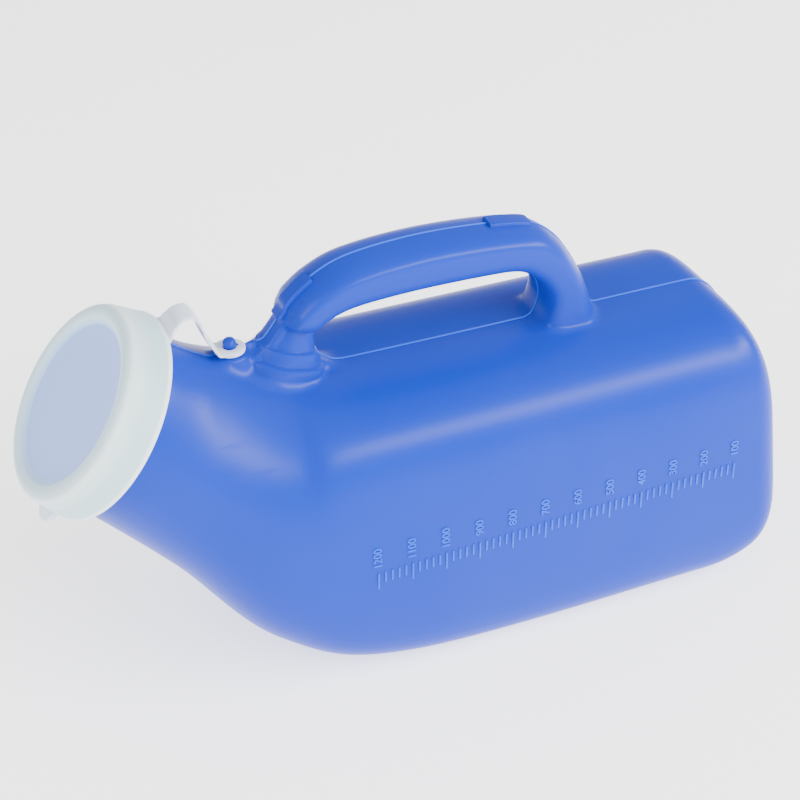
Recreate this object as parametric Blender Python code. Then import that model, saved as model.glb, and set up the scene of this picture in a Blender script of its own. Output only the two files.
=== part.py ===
"""Portable urine bottle: a blow-moulded bottle with a carry handle, and a snap cap on a strap.

Lengths are in millimetres here and become metres where a mesh is made.
+Z is up and +X runs along the body, from the mouth to the base end.
The origin is on the ground, under the middle of the whole object.
The mouth has its own frame: "out" along its axis, and "radial" upwards across it.
"""

import math

import bmesh
import bpy
from mathutils import Matrix, Vector

MM = 0.001
GAP = 0.3                       # clearance between neighbouring pieces

# Mouth frame
MOUTH = Vector((-112.6, 0.0, 109.3))    # middle of the cap's recessed panel
MOUTH_TILT = math.radians(36.9)         # the neck rises towards the mouth
OUT = Vector((-math.cos(MOUTH_TILT), 0.0, math.sin(MOUTH_TILT)))
RADIAL = Vector((math.sin(MOUTH_TILT), 0.0, math.cos(MOUTH_TILT)))

# Bottle shell
WALL = 1.6
NECK_R = 31.3
BEAD_R = 32.6
BEAD_FRONT = -3.0               # out positions along the mouth's axis
BEAD_BACK = -5.6
NECK_START = -6.8
NECK_END = -15.0
ROOF_Z = 102.7
HALF_WIDTH = 47.0
SPLIT = 0.51                    # height of the widest line, as a share of the section
LEAN = 0.08                     # the sides draw in towards the roof
ROOF_ROUND = 3.7                # superellipse powers above and below the widest line
FLOOR_ROUND = 6.0
FLAT_SHARE = 0.985              # the section's lowest part is pressed flat
END_X = 131.9                   # base end, at the height of the widest line
END_LEAN = math.radians(5.0)    # the base end's foot stands out further than its top
END_R_ROOF = 17.0
END_R_FLOOR = 26.0
END_R_SIDE = 10.5
AROUND = 40                     # points round the bottle
STEPS = 4                       # rings from one station to the next
END_STEPS = 6

# Each station: top (x, z), bottom (x, z), half width, split, power above, power below,
# lean, and the share of its lower half that is left when its lowest part is pressed flat
NECK_STATION = ((-69.3, 116.9), (-88.8, 45.6), 36.7, 0.5, 1.8, 2.6, 0.0, 1.0)
SHOULDER_STATION = ((-47.4, 106.3), (-57.2, 12.3), 45.3, 0.5, 2.3, 3.6, 0.04, 1.0)
FRONT_STATION = ((-22.2, ROOF_Z), (-8.0, 0.0), HALF_WIDTH, SPLIT, ROOF_ROUND, FLOOR_ROUND,
                 LEAN, FLAT_SHARE)

# Handle: outer (x, z), inner (x, z), half width
HANDLE_WALL = 1.6
HANDLE_AROUND = 20
HANDLE_SPLIT = 0.64             # height of the widest line, as a share of the thickness
HANDLE_CROWN = 1.9              # superellipse powers outside and inside the widest line
HANDLE_POWER = 3.4
HANDLE_STATIONS = (
    ((-63.6, 98.0), (-19.0, 93.0), 16.4),
    ((-61.2, 110.4), (-23.0, 103.6), 14.4),
    ((-53.2, 114.2), (-28.4, 108.2), 11.4),
    ((-46.6, 118.4), (-31.0, 115.2), 9.0),
    ((-42.6, 124.2), (-31.4, 121.2), 10.6),
    ((-38.6, 131.0), (-27.8, 124.2), 11.8),
    ((-30.6, 137.4), (-22.4, 126.4), 11.8),
    ((-17.9, 142.7), (-13.6, 127.6), 11.8),
    ((5.5, 144.9), (5.6, 128.4), 11.8),
    ((29.5, 143.9), (28.4, 128.1), 11.8),
    ((48.0, 141.0), (41.2, 127.0), 11.8),
    ((57.5, 134.8), (48.8, 122.2), 11.8),
    ((63.9, 126.3), (53.0, 116.2), 12.0),
    ((69.2, 116.4), (53.6, 109.6), 12.2),
    ((73.2, 104.6), (50.6, 102.2), 13.6),
    ((77.0, 94.0), (45.6, 93.0), 15.6),
)
RIB_HALF_WIDTH = 3.4
RIB_HEIGHT = 1.0
RIB_FIRST = 5                   # the rib lies along these handle stations
RIB_LAST = 11

# Strap and its stud
STUD_X = -59.2
STUD_R = 1.8
STUD_HEAD_R = 2.6
STUD_TOP = 120.9
STUD_HEAD_Z = 117.9
PAD_Z = 115.9                   # underside of the pad
PAD_THICK = 1.4
PAD_HALF_WIDTH = 5.2
PAD_FRONT_X = -63.6
STRAP_THICK = 1.2
STRAP_HALF_WIDTH = 5.0
STRAP_ROOT_HALF_WIDTH = 8.0     # the strap widens where it meets the skirt
HINGE_TRIM = 0.6                # a link stops this far short of a hinge
ROOT_TRIM = 1.6                 # and this far short of the skirt
HINGE_BASE = Vector((-65.1, 0.0, 119.3))
HINGE_FOLD = Vector((-72.7, 0.0, 134.2))
HINGE_CAP = Vector((-79.8, 0.0, 130.0))
REAR_PATH = ((-65.1, 119.3), (-67.9, 124.6), (-69.4, 129.6), (-71.0, 132.8), (-72.7, 134.2))
FRONT_PATH = ((-72.7, 134.2), (-75.6, 133.9), (-78.2, 132.0), (-79.8, 130.0))

# Cap, as (radius, out) points along its turned profile
CAP_STEPS = 48
PANEL_THICK = 1.6
PANEL_R = 27.5
SKIRT_BACK = -13.2
CAP_PROFILE = (
    (0.0, 0.0),
    (PANEL_R, 0.0),
    (28.6, 1.4),
    (30.2, 2.0),
    (32.4, 1.6),
    (34.0, 0.2),
    (34.7, -2.6),
    (36.0, SKIRT_BACK),
    (34.8, SKIRT_BACK),
    (34.1, -3.4),
    (33.0, -PANEL_THICK),
    (0.0, -PANEL_THICK),
)
LIP_R_OUT = 28.0
LIP_R_IN = 26.4
LIP_BACK = -4.2
TAB_HALF_WIDTH = 6.0
TAB_REACH = 43.6
TAB_THICK = 1.8


def clear_scene():
    for thing in list(bpy.data.objects):
        bpy.data.objects.remove(thing, do_unlink=True)


def plastic(name, colour, roughness):
    material = bpy.data.materials.new(name)
    material.use_nodes = True
    shader = material.node_tree.nodes["Principled BSDF"]
    shader.inputs["Base Color"].default_value = (*colour, 1.0)
    shader.inputs["Roughness"].default_value = roughness
    shader.inputs["Metallic"].default_value = 0.0
    return material


def mouth_point(out, radial, across=0.0):
    """A point given in the mouth's frame."""
    return MOUTH + OUT * out + RADIAL * radial + Vector((0.0, across, 0.0))


def signed_power(value, power):
    return math.copysign(abs(value) ** power, value)


def section(station, grow, count):
    """Ring of points through a top and a bottom point, rounder or squarer above and below."""
    top, bottom, half_width, split, power_above, power_below, lean, flat = station
    high = Vector((top[0], 0.0, top[1]))
    low = Vector((bottom[0], 0.0, bottom[1]))
    across = (high - low).normalized()
    height = (high - low).length
    middle = low + across * height * split
    ring = []
    for i in range(count):
        angle = math.tau * i / count
        above = math.sin(angle) > 0.0
        power = 2.0 / (power_above if above else power_below)
        reach = height * (1.0 - split) if above else height * split / flat
        side = signed_power(math.cos(angle), power) * (half_width + grow)
        rise = signed_power(math.sin(angle), power) * (reach + grow)
        side *= 1.0 - lean * signed_power(math.sin(angle), power)
        rise = max(rise, -height * split - grow)
        ring.append(middle + across * rise + Vector((0.0, side, 0.0)))
    return ring


def flatten_floor(ring, floor_z):
    """Presses the lowest part of a ring flat on the ground."""
    for point in ring:
        point.z = max(point.z, floor_z)


def circle_station(out, radius):
    top = mouth_point(out, radius)
    bottom = mouth_point(out, -radius)
    return ((top.x, top.z), (bottom.x, bottom.z), radius, 0.5, 2.0, 2.0, 0.0, 1.0)


def flat_values(station):
    values = []
    for entry in station:
        values.extend(entry if isinstance(entry, tuple) else (entry,))
    return values


def as_station(values):
    return (values[0:2], values[2:4], *values[4:])


def smooth_between(rows, steps):
    """Catmull-Rom curve through rows of numbers."""
    result = []
    for i in range(len(rows) - 1):
        before = rows[max(i - 1, 0)]
        after = rows[min(i + 2, len(rows) - 1)]
        for step in range(steps):
            t = step / steps
            result.append([
                0.5 * (2 * b + (c - a) * t + (2 * a - 5 * b + 4 * c - d) * t * t
                       + (3 * b - a - 3 * c + d) * t ** 3)
                for a, b, c, d in zip(before, rows[i], rows[i + 1], after)
            ])
    result.append(list(rows[-1]))
    return result


def corner_inset(radius, depth):
    """How far a rounded corner draws in, at a depth in from the base end."""
    if depth >= radius:
        return 0.0
    return radius - math.sqrt(radius ** 2 - (radius - depth) ** 2)


def end_rings(grow):
    """Rings round the base end's corners, up to its flat face."""
    middle_z = ROOF_Z * SPLIT
    rings = []
    for step in range(1, END_STEPS + 1):
        turn = 0.5 * math.pi * step / END_STEPS
        depth = END_R_FLOOR * (1.0 - math.sin(turn))
        slope = math.tan(END_LEAN) * math.sin(turn)
        high = ROOF_Z - corner_inset(END_R_ROOF, depth)
        low = corner_inset(END_R_FLOOR, depth)
        middle_x = END_X + grow * math.sin(turn) - depth
        station = ((middle_x - slope * (high - middle_z), high),
                   (middle_x + slope * (middle_z - low), low),
                   HALF_WIDTH - corner_inset(END_R_SIDE, depth), *FRONT_STATION[3:])
        rings.append(section(station, grow, AROUND))
    return rings


def bottle_rings(grow=0.0):
    """Rings from the neck to the base end, on the outer skin moved out by grow."""
    stations = (
        circle_station(NECK_START, NECK_R),
        circle_station(NECK_END, NECK_R),
        NECK_STATION,
        SHOULDER_STATION,
        FRONT_STATION,
    )
    rows = [flat_values(s) for s in stations]
    straight = flat_values(FRONT_STATION)
    straight[0] = straight[2] = END_X - END_R_FLOOR
    rows.append(straight)
    rings = [section(as_station(row), grow, AROUND) for row in smooth_between(rows, STEPS)]
    for ring in rings:
        flatten_floor(ring, -grow)
    return rings + end_rings(grow)


def skin(rings, cap_first, cap_last):
    """A bmesh through the rings, in metres, closed at the ends that are asked for."""
    mesh = bmesh.new()
    loops = [[mesh.verts.new(point * MM) for point in ring] for ring in rings]
    count = len(rings[0])
    for first, second in zip(loops, loops[1:]):
        for i in range(count):
            j = (i + 1) % count
            mesh.faces.new((first[i], first[j], second[j], second[i]))
    if cap_first:
        mesh.faces.new(loops[0])
    if cap_last:
        mesh.faces.new(loops[-1])
    bmesh.ops.recalc_face_normals(mesh, faces=mesh.faces)
    return mesh


def lathe(profile, steps):
    """Turns a profile of (radius, out) points round the mouth's axis."""
    mesh = bmesh.new()
    points = [mesh.verts.new((radius * MM, 0.0, out * MM)) for radius, out in profile]
    edges = [mesh.edges.new(pair) for pair in zip(points, points[1:])]
    if profile[0][0] > 0.0:
        edges.append(mesh.edges.new((points[-1], points[0])))
    bmesh.ops.spin(mesh, geom=points + edges, axis=(0, 0, 1), cent=(0, 0, 0),
                   angle=math.tau, steps=steps, use_merge=True)
    bmesh.ops.remove_doubles(mesh, verts=mesh.verts, dist=0.000001)
    bmesh.ops.recalc_face_normals(mesh, faces=mesh.faces)
    turn = Matrix((RADIAL, OUT.cross(RADIAL), OUT)).transposed().to_4x4()
    mesh.transform(Matrix.Translation(MOUTH * MM) @ turn)
    return mesh


def extruded(outline, lift):
    """A flat outline pushed along one vector, in metres."""
    mesh = bmesh.new()
    face = mesh.faces.new([mesh.verts.new(point * MM) for point in outline])
    grown = bmesh.ops.extrude_face_region(mesh, geom=[face])
    moved = [item for item in grown["geom"] if isinstance(item, bmesh.types.BMVert)]
    bmesh.ops.translate(mesh, verts=moved, vec=lift * MM)
    bmesh.ops.recalc_face_normals(mesh, faces=mesh.faces)
    return mesh


def upright_cylinder(x, z_low, z_high, radius, segments=16):
    mesh = bmesh.new()
    bmesh.ops.create_cone(mesh, cap_ends=True, segments=segments, radius1=radius * MM,
                          radius2=radius * MM, depth=(z_high - z_low) * MM)
    middle = Vector((x, 0.0, 0.5 * (z_low + z_high))) * MM
    bmesh.ops.translate(mesh, verts=mesh.verts, vec=middle)
    return mesh


def add_piece(name, mesh, material, pivot=None):
    """Turns a bmesh in world metres into an object, hung on its pivot where it moves."""
    data = bpy.data.meshes.new(name)
    if pivot:
        bpy.context.view_layer.update()
        mesh.transform(pivot.matrix_world.inverted())
    mesh.to_mesh(data)
    mesh.free()
    data.materials.append(material)
    data.shade_smooth()
    data.set_sharp_from_angle(angle=math.radians(35.0))
    piece = bpy.data.objects.new(name, data)
    bpy.context.collection.objects.link(piece)
    piece.parent = pivot
    return piece


def add_pivot(name, place, parent=None):
    pivot = bpy.data.objects.new(name, None)
    bpy.context.collection.objects.link(pivot)
    bpy.context.view_layer.update()
    base = parent.matrix_world.translation if parent else Vector()
    pivot.parent = parent
    pivot.location = place * MM - base
    return pivot


def add_cutter(name, mesh):
    cutter = add_piece(name, mesh, CUTTER_PLASTIC)
    cutter.hide_render = True
    cutter.display_type = "WIRE"
    return cutter


def cut(piece, cutter):
    modifier = piece.modifiers.new("Cut " + cutter.name, "BOOLEAN")
    modifier.operation = "DIFFERENCE"
    modifier.solver = "EXACT"
    modifier.object = cutter


def thicken(piece, wall):
    modifier = piece.modifiers.new("Wall", "SOLIDIFY")
    modifier.thickness = wall * MM
    modifier.offset = -1.0
    modifier.use_even_offset = True


def handle_rings(grow=0.0):
    rows = [flat_values(s) for s in HANDLE_STATIONS]
    rings = []
    for row in smooth_between(rows, 2):
        outer = Vector((row[0], 0.0, row[1]))
        inner = Vector((row[2], 0.0, row[3]))
        reach = (outer - inner).normalized() * grow
        outer += reach
        inner -= reach
        station = ((outer.x, outer.z), (inner.x, inner.z), row[4] + grow,
                   HANDLE_SPLIT, HANDLE_CROWN, HANDLE_POWER, 0.0, 1.0)
        rings.append(section(station, 0.0, HANDLE_AROUND))
    return rings


def rib_rings():
    """Flat bar along the grip's outer side."""
    rows = [flat_values(s) for s in HANDLE_STATIONS[RIB_FIRST - 1:RIB_LAST + 1]]
    curve = smooth_between(rows, 2)[2:-2]
    rings = []
    for row in curve:
        outer = Vector((row[0], 0.0, row[1]))
        inner = Vector((row[2], 0.0, row[3]))
        rise = (outer - inner).normalized()
        low = outer + rise * GAP
        high = low + rise * RIB_HEIGHT
        side = Vector((0.0, RIB_HALF_WIDTH, 0.0))
        rings.append([high - side, high + side, low + side, low - side])
    return rings


def strap_rings(path, half_widths, trim_first, trim_last):
    """Flat strap along a path in the middle plane, trimmed back from its hinges."""
    points = [Vector((x, 0.0, z)) for x, z in path]
    points[0] += (points[1] - points[0]).normalized() * trim_first
    points[-1] += (points[-2] - points[-1]).normalized() * trim_last
    rings = []
    for i, point in enumerate(points):
        ahead = points[min(i + 1, len(points) - 1)]
        behind = points[max(i - 1, 0)]
        along = (ahead - behind).normalized()
        normal = along.cross(Vector((0.0, 1.0, 0.0))) * 0.5 * STRAP_THICK
        side = Vector((0.0, half_widths[i], 0.0))
        rings.append([point + normal - side, point + normal + side,
                      point - normal + side, point - normal - side])
    return rings


def arc(centre, along, across, radius, start, stop, count):
    points = []
    for i in range(count + 1):
        angle = start + (stop - start) * i / count
        points.append(centre + along * radius * math.cos(angle) + across * radius * math.sin(angle))
    return points


def build_bottle():
    mouth = [section(circle_station(out, radius), 0.0, AROUND)
             for out, radius in ((BEAD_FRONT, BEAD_R), (BEAD_BACK, BEAD_R))]
    body = add_piece("bottle_body", skin(mouth + bottle_rings(), False, True), BLUE)
    thicken(body, WALL)


def build_handle(solid_bottle):
    handle = add_piece("carry_handle", skin(handle_rings(), True, True), BLUE)
    thicken(handle, HANDLE_WALL)
    cut(handle, solid_bottle)
    add_piece("grip_rib", skin(rib_rings(), True, True), BLUE)


def build_stud(solid_bottle, solid_handle):
    shaft_profile = (
        (ROOF_Z, STUD_R),
        (STUD_HEAD_Z, STUD_R),
        (STUD_HEAD_Z, STUD_HEAD_R),
        (STUD_HEAD_Z + 1.0, STUD_HEAD_R),
        (STUD_TOP - 0.6, 0.55 * STUD_HEAD_R),
        (STUD_TOP, 0.2 * STUD_HEAD_R),
    )
    rings = []
    for z, radius in shaft_profile:
        middle = Vector((STUD_X, 0.0, z))
        ring = arc(middle, Vector((1, 0, 0)), Vector((0, 1, 0)), radius, 0.0, math.tau, 16)
        rings.append(ring[:-1])
    stud = add_piece("tether_stud", skin(rings, True, True), BLUE)
    cut(stud, solid_handle)
    cut(stud, solid_bottle)


def build_pad(solid_handle):
    middle = Vector((STUD_X, 0.0, PAD_Z))
    along = Vector((1.0, 0.0, 0.0))
    across = Vector((0.0, 1.0, 0.0))
    outline = arc(middle, along, across, PAD_HALF_WIDTH, -0.5 * math.pi, 0.5 * math.pi, 12)
    outline.append(Vector((PAD_FRONT_X, PAD_HALF_WIDTH, PAD_Z)))
    outline.append(Vector((PAD_FRONT_X, -PAD_HALF_WIDTH, PAD_Z)))
    pad = add_piece("tether_pad", extruded(outline, Vector((0.0, 0.0, PAD_THICK))), MILKY)
    hole = upright_cylinder(STUD_X, PAD_Z - 2.0, PAD_Z + 4.0, STUD_R + GAP)
    cut(pad, add_cutter("pad_hole", hole))
    cut(pad, solid_handle)


def build_straps(base_pivot, fold_pivot):
    rear_widths = [STRAP_HALF_WIDTH] * len(REAR_PATH)
    rear = strap_rings(REAR_PATH, rear_widths, HINGE_TRIM, HINGE_TRIM)
    add_piece("tether_rear", skin(rear, True, True), MILKY, base_pivot)
    last = len(FRONT_PATH) - 1
    spread = STRAP_ROOT_HALF_WIDTH - STRAP_HALF_WIDTH
    front_widths = [STRAP_HALF_WIDTH + spread * (i / last) ** 2 for i in range(last + 1)]
    front = strap_rings(FRONT_PATH, front_widths, HINGE_TRIM, ROOT_TRIM)
    add_piece("tether_front", skin(front, True, True), MILKY, fold_pivot)


def build_cap(cap_pivot):
    add_piece("cap_shell", lathe(CAP_PROFILE, CAP_STEPS), MILKY, cap_pivot)
    lip_front = -PANEL_THICK - GAP
    lip = ((LIP_R_OUT - 0.3, LIP_BACK), (LIP_R_IN, LIP_BACK), (LIP_R_IN, lip_front),
           (LIP_R_OUT, lip_front), (LIP_R_OUT, LIP_BACK + 0.8))
    add_piece("plug_lip", lathe(lip, CAP_STEPS), MILKY, cap_pivot)
    skirt_r = CAP_PROFILE[8][0]
    back = SKIRT_BACK - GAP
    tip = mouth_point(back, -(TAB_REACH - TAB_HALF_WIDTH))
    outline = arc(tip, Vector((0, 1, 0)), -RADIAL, TAB_HALF_WIDTH, 0.0, math.pi, 12)
    outline.append(mouth_point(back, -skirt_r, -TAB_HALF_WIDTH - 1.5))
    outline.append(mouth_point(back, -skirt_r, TAB_HALF_WIDTH + 1.5))
    add_piece("pull_tab", extruded(outline, -OUT * TAB_THICK), MILKY, cap_pivot)


clear_scene()
BLUE = plastic("blue_polyethylene", (0.045, 0.17, 0.92), 0.38)
MILKY = plastic("milky_polyethylene", (0.70, 0.79, 0.82), 0.42)
CUTTER_PLASTIC = plastic("cutter", (0.5, 0.5, 0.5), 0.5)

bottle_solid = add_cutter("bottle_solid", skin(bottle_rings(GAP), True, True))
handle_solid = add_cutter("handle_solid", skin(handle_rings(GAP), True, True))
build_bottle()
build_handle(bottle_solid)
build_stud(bottle_solid, handle_solid)
build_pad(handle_solid)
base_hinge = add_pivot("tether_base_hinge", HINGE_BASE)
fold_hinge = add_pivot("tether_fold_hinge", HINGE_FOLD, base_hinge)
cap_hinge = add_pivot("cap_hinge", HINGE_CAP, fold_hinge)
build_straps(base_hinge, fold_hinge)
build_cap(cap_hinge)
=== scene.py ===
"""Portable urine bottle: the look of each piece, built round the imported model.

Lengths are in millimetres here and become metres where a mesh is made.
+Z is up and +X runs along the body, from the mouth to the base end.
The mouth has its own frame: "out" along its axis, and "radial" upwards across it.
"""

import functools
import math

import bmesh
import bpy
from bpy.props import FloatProperty, FloatVectorProperty, IntProperty, PointerProperty
from mathutils import Matrix, Vector
from mathutils.bvhtree import BVHTree


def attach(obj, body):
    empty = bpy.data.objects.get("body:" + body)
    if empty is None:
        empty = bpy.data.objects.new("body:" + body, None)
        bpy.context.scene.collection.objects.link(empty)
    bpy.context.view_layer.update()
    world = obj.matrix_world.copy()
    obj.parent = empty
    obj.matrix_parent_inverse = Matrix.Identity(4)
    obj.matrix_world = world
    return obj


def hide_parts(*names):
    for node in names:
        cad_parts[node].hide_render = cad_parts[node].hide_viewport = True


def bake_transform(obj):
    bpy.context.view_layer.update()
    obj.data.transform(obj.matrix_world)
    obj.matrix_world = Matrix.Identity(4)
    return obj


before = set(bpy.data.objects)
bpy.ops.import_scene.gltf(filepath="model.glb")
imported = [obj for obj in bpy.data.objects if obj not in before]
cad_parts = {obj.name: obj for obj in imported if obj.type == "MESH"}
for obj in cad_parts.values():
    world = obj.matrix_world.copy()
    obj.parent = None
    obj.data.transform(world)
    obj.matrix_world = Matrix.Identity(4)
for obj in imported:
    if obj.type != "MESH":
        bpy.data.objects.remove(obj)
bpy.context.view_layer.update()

bl_info = {
    "name": "Urine Bottle",
    "version": (1, 0, 0),
    "blender": (4, 5, 0),
    "location": "View3D > Sidebar > Bottle",
    "description": "Builds a blow-moulded urine bottle: handle, cap, strap and volume marks",
    "category": "Add Mesh",
}

MM = 0.001

# Mouth frame
MOUTH = Vector((-112.6, 0.0, 109.3))  # middle of the cap's recessed panel
MOUTH_TILT = math.radians(36.9)
OUT = Vector((-math.cos(MOUTH_TILT), 0.0, math.sin(MOUTH_TILT)))
RADIAL = Vector((math.sin(MOUTH_TILT), 0.0, math.cos(MOUTH_TILT)))
ACROSS = Vector((0.0, 1.0, 0.0))
ALONG = Vector((1.0, 0.0, 0.0))
UP = Vector((0.0, 0.0, 1.0))

# Bottle shell
NECK_R = 31.3
BEAD_R = 32.6
BEAD_FRONT = -3.0
BEAD_BACK = -5.6
NECK_START = -6.8
NECK_END = -15.0
MOUTH_CUT = -3.5  # the skin is opened here
ROOF_Z = 102.7
HALF_WIDTH = 47.0
SPLIT = 0.51  # height of the widest line, as a share of the section
END_X = 131.9
END_LEAN = math.radians(5.0)
END_R_ROOF = 17.0
END_R_FLOOR = 26.0
END_R_SIDE = 10.5
BASE_RECESS = 1.4  # the base end's panel is pushed in by this much
# Shares of the end's outline and of the recess, from the rim to the panel
BASE_STEPS = ((0.92, 0.0), (0.87, 0.15), (0.84, 0.85), (0.80, 1.0), (0.4, 1.0))

# Each station: top x and z, bottom x and z, half width, split, power above, power below,
# lean, and the share of its lower half that is left when its lowest part is pressed flat
NECK_STATION = (-69.3, 116.9, -88.8, 45.6, 36.7, 0.5, 1.8, 2.6, 0.0, 1.0)
SHOULDER_STATION = (-47.4, 106.3, -57.2, 12.3, 45.3, 0.5, 2.3, 3.6, 0.04, 1.0)
FRONT_STATION = (-22.2, ROOF_Z, -8.0, 0.0, HALF_WIDTH, SPLIT, 3.7, 6.0, 0.08, 0.985)

# Grip and rear leg: outer x and z, inner x and z, half width
GRIP_SPLIT = 0.68  # height of the widest line, as a share
GRIP_POWER_OUTER = 1.8
GRIP_POWER_INNER = 5.0
GRIP_STATIONS = (
    (-42.4, 125.2, -32.2, 121.4, 10.4),
    (-40.4, 127.8, -30.4, 122.6, 11.7),
    (-38.6, 131.0, -27.8, 124.2, 11.8),
    (-30.6, 137.4, -22.4, 126.4, 11.8),
    (-17.9, 142.7, -13.6, 127.6, 11.8),
    (5.5, 144.9, 5.6, 128.4, 11.8),
    (29.5, 143.9, 28.4, 128.1, 11.8),
    (48.0, 141.0, 41.2, 127.0, 11.8),
    (57.5, 134.8, 48.8, 122.2, 11.8),
    (63.9, 126.3, 53.0, 116.2, 12.0),
    (69.2, 116.4, 53.6, 109.6, 12.2),
    (73.2, 104.6, 50.6, 102.2, 13.2),
    (75.6, 97.0, 46.6, 97.0, 14.2),
)

# Front foot, in planes that follow the shoulder's slope. Each level: height over the
# roof, front and rear reach along the slope, half width, power. The levels go into the
# moulded skin; the steps are a crisp piece that stands a little over it
FOOT_MIDDLE = Vector((-42.0, 0.0, 105.0))
FOOT_SLOPE = math.radians(14.5)
FOOT_BOW = 1.75  # power of the foot's pointed front
FOOT_LEVELS = (
    (-9.0, -20.0, 18.0, 14.4, 2.4),
    (-0.6, -17.8, 16.0, 13.2, 2.5),
    (1.2, -15.9, 14.1, 12.3, 2.8),
    (2.4, -14.8, 13.2, 11.8, 3.2),
    (4.0, -13.6, 12.0, 11.2, 3.6),
    (5.4, -11.8, 10.4, 9.6, 3.6),
    (9.4, -10.0, 8.8, 8.9, 3.6),
    (10.6, -8.0, 8.2, 7.4, 3.4),
    (15.5, -5.8, 7.2, 6.6, 3.4),
    (19.0, -4.4, 6.4, 6.8, 3.4),
    (22.0, -3.6, 6.0, 7.0, 3.4),
)
FOOT_STEPS = (
    (-1.0, -16.2, 14.4, 12.6, 2.7),
    (1.2, -15.8, 14.0, 12.35, 2.9),
    (2.6, -15.0, 13.3, 12.15, 3.4),
    (4.2, -14.4, 12.7, 12.0, 3.8),
    (4.6, -14.2, 12.5, 11.8, 3.8),
    (4.85, -13.7, 12.1, 11.4, 3.8),
    (5.0, -12.5, 11.0, 10.3, 3.8),
    (9.2, -10.9, 9.8, 9.8, 3.8),
    (9.6, -10.7, 9.6, 9.6, 3.8),
    (9.85, -10.3, 9.2, 9.2, 3.8),
    (10.0, -8.8, 8.8, 8.1, 3.6),
    (14.5, -6.6, 7.8, 7.2, 3.4),
    (18.5, -5.0, 7.0, 7.2, 3.4),
    (21.0, -3.8, 6.4, 7.2, 3.4),
)

# The leg's fillets in the middle plane, and slices across as (side, share of the size)
WEB_MIDDLE = Vector((-42.0, 0.0, 106.0))
WEB_OUTLINE = ((-63.0, 105.0), (-60.4, 110.6), (-55.4, 112.4), (-50.6, 115.2), (-47.2, 117.9),
               (-44.6, 121.2), (-42.0, 124.6), (-36.0, 126.0), (-31.4, 121.6), (-31.0, 116.1),
               (-30.6, 111.4), (-28.4, 107.0), (-24.2, 103.8), (-16.0, 100.0))
WEB_SLICES = ((-5.2, 0.93), (-4.6, 0.98), (-2.0, 1.0), (2.0, 1.0), (4.6, 0.98), (5.2, 0.93))

# Rounding of the skin: shares of the fillet's reach, each with its rounds of smoothing
FILLET_ROUNDS = ((1.0, 3), (0.65, 3), (0.35, 5))
HANDLE_ROUNDS = 2
CLEAR_OF_BODY = 0.2  # points this far off the body are the handle's

# Parting line: the step between its points, and where it stops
SEAM_STEP = 1.3
MOUTH_GAP = 30.0  # it stays open where its points are wider apart
STUD_GAP_X = (-65.5, -49.0)  # it doesn't cross the stud and the pad
STUD_GAP_Z = 112.8
FEWEST_POINTS = 40  # shorter loops are crumbs of the cut

# Raised blocks on the grip, as shares of the grip's outer line
RIB_HALF_WIDTH = 3.4
RIB_ROOT = 1.5  # depth that the blocks go into the grip
FRONT_BLOCK = (0.0, 0.165)
REAR_BLOCK = (0.745, 0.905)

# Stud, its boss, both as (z, radius) levels, and the small fin behind it
STUD_X = -59.2
STUD_LEVELS = ((104.0, 2.0), (117.5, 1.8), (118.0, 2.3), (118.7, 2.55), (119.6, 2.4),
               (120.5, 1.7), (120.9, 0.7))
BOSS_LEVELS = ((104.0, 8.6), (110.0, 7.4), (113.4, 6.2), (115.4, 5.8))
FIN_OUTLINE = ((-57.2, 117.5), (-54.4, 116.9), (-53.4, 116.2), (-53.4, 111.0), (-46.0, 111.0),
               (-46.4, 117.2), (-49.4, 117.7))

# Strap's pad, as (radius, height) points along its turned profile
PAD_Z = 115.9
PAD_PROFILE = ((2.1, 0.2), (2.3, 0.0), (4.95, 0.0), (5.2, 0.1), (5.3, 0.35), (5.3, 1.05),
               (5.2, 1.3), (4.95, 1.4), (2.45, 1.4), (2.18, 1.3), (2.1, 1.05))

# Strap from the pad to the skirt. Each stop: place on the middle line, half width, and
# the share of the skirt's curve that it takes on. The root is given in the mouth's frame
STRAP_STOPS = (
    (-61.4, 116.6, 4.6, 0.0),
    (-63.7, 117.0, 4.6, 0.0),
    (-65.1, 119.3, 5.0, 0.0),
    (-67.9, 124.6, 5.0, 0.0),
    (-69.4, 129.6, 5.0, 0.0),
    (-71.0, 132.8, 5.0, 0.0),
    (-72.7, 134.2, 5.0, 0.0),
    (-75.6, 133.9, 5.2, 0.0),
    (-78.2, 132.0, 5.8, 0.0),
    (-79.8, 130.0, 6.9, 0.6),
)
STRAP_ROOT = ((-13.4, 35.5, 8.2, 1.0), (-12.2, 35.35, 8.6, 1.0))
SKIRT_CURVE = 2.0 * NECK_R + 9.0  # width of the round that the root follows
# Where the strap is cut, and its direction at each hinge
REAR_CUT = Vector((-68.9, 0.0, 127.5))
FRONT_CUT = Vector((-77.3, 0.0, 132.9))
RUN_AT_PAD = Vector((-0.467, 0.0, 0.884))
RUN_AT_LOOP = Vector((-0.92, 0.0, 0.39))
RUN_AT_SKIRT = Vector((-0.6, 0.0, -0.8))

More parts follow.
